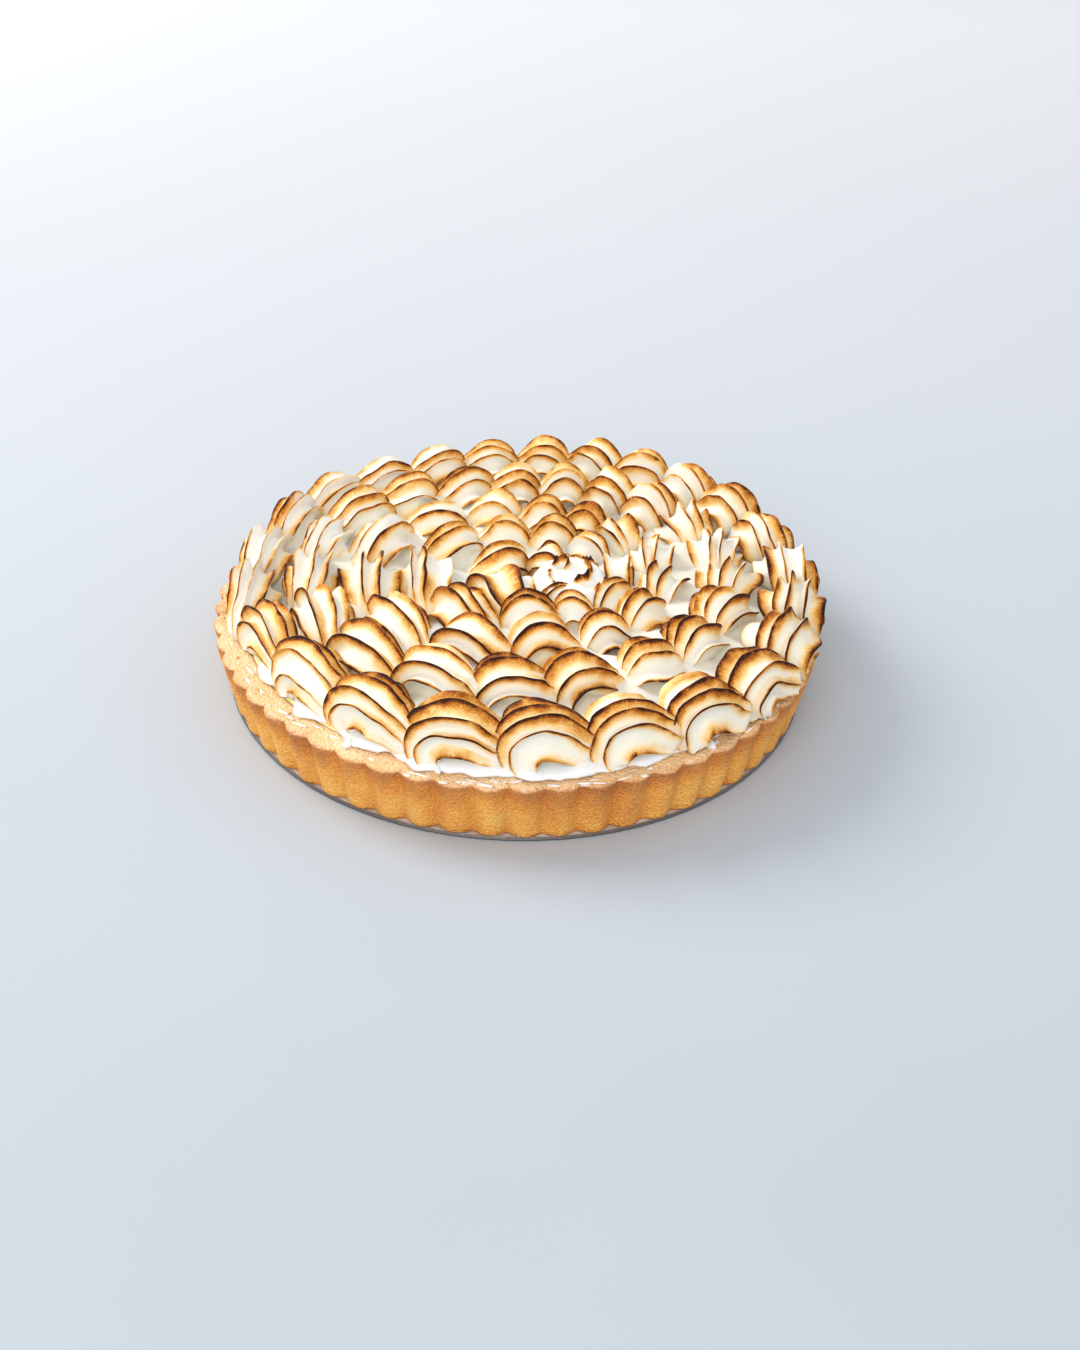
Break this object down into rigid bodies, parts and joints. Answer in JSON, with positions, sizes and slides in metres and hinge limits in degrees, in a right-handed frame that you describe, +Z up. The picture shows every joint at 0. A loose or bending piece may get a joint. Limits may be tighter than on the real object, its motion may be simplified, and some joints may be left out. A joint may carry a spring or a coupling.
{
  "type": "lemon meringue pie",
  "caption": "Lemon meringue tart with a fluted pastry case, lemon curd and a browned top of piped meringue shells, on the flat steel base of its tin.",
  "frame": {"origin": "middle of the underside of the tin's steel base, where the tart rests", "axes": "+Z up, -Y the front of the tart, +X its right side"},
  "size_m": [0.2632, 0.262, 0.0567],
  "materials": {
    "tin_base": "dark tin steel, worn smooth",
    "crust": "dry golden baked pastry",
    "lemon_curd": "moist pale yellow curd",
    "meringue": "smooth white meringue, browned on its fins"
  },
  "bodies": {
    "root": {"tin_base": "tin_base", "crust": "crust", "lemon_curd": "lemon_curd", "meringue": "meringue"}
  },
  "joints": []
}
